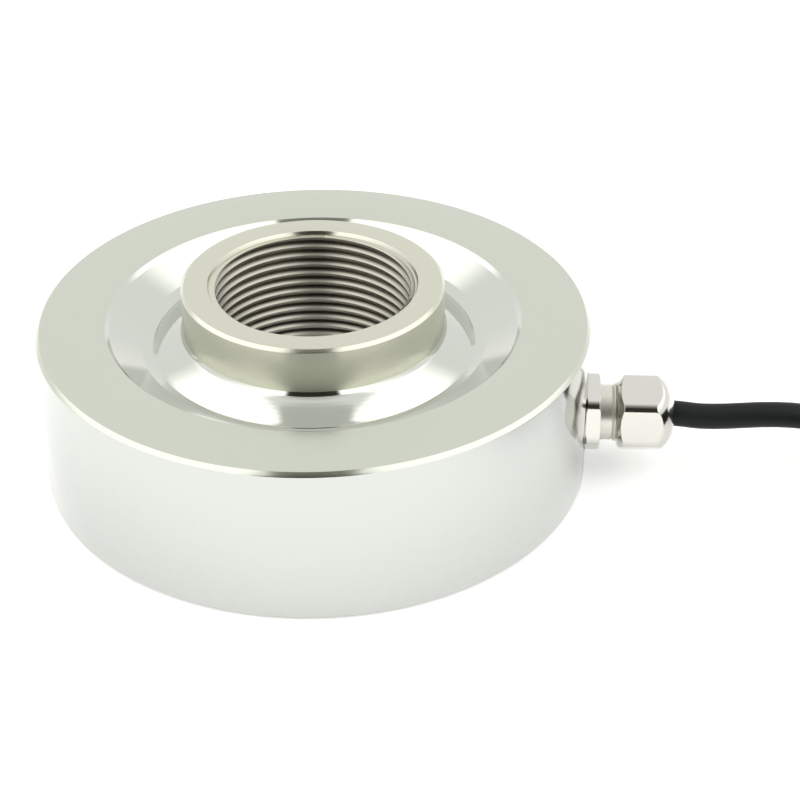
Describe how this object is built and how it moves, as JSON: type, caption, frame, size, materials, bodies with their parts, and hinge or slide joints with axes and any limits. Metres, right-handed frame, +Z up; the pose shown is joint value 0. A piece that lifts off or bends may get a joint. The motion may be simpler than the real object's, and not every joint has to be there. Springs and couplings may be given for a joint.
{
  "type": "ring load cell",
  "caption": "Low-profile ring load cell: turned steel ring with a raised threaded hub, a flexure groove, a side cable gland and a signal cable wound into a coil.",
  "frame": {"origin": "middle of the ring's foot face, on the axis of the load thread", "axes": "+Z up along the load thread, towards the raised hub; +X towards the cable gland"},
  "size_m": [0.2368, 0.1236, 0.039],
  "materials": {
    "turned_steel": "fine turned stainless steel, nearly polished",
    "cover_steel": "satin stainless sheet",
    "board": "green circuit board",
    "resistor": "small black chips",
    "harness_wire": "bundle of enamelled wires",
    "solder": "bright solder",
    "gauge_foil": "amber film with a foil grid",
    "nickel": "nickel-plated brass, bright",
    "seal_rubber": "black nitrile rubber",
    "claw_plastic": "natural polyamide",
    "cable_jacket": "black PVC jacket, slight sheen",
    "tie_plastic": "black coated twist tie",
    "sleeve_plastic": "black heat-shrink sleeve",
    "tinned_copper": "tinned copper strands",
    "wire_red": "red core insulation",
    "wire_black": "black core insulation",
    "wire_green": "green core insulation",
    "wire_white": "white core insulation"
  },
  "bodies": {
    "root": {"sensing_body": "turned_steel", "bottom_cover": "cover_steel", "strain_gauge_1": "gauge_foil", "strain_gauge_2": "gauge_foil", "strain_gauge_3": "gauge_foil", "strain_gauge_4": "gauge_foil", "strain_gauge_5": "gauge_foil", "strain_gauge_6": "gauge_foil", "strain_gauge_7": "gauge_foil", "strain_gauge_8": "gauge_foil", "bridge_board": "board", "trim_resistors": "resistor", "bridge_harness": "harness_wire", "inner_wire_red": "wire_red", "inner_wire_black": "wire_black", "inner_wire_green": "wire_green", "inner_wire_white": "wire_white", "solder_terminals": "solder", "gland_washer": "nickel", "gland_body": "nickel", "gland_seal": "seal_rubber", "gland_claw": "claw_plastic", "gland_cap": "nickel", "cable_inner_end": "cable_jacket", "cable_run": "cable_jacket", "cable_coil": "cable_jacket", "coil_tie": "tie_plastic", "cable_end_sleeve": "sleeve_plastic", "lead_red": "wire_red", "lead_black": "wire_black", "lead_green": "wire_green", "lead_white": "wire_white", "shield_drain_wire": "tinned_copper", "tinned_tips": "tinned_copper"}
  },
  "joints": []
}
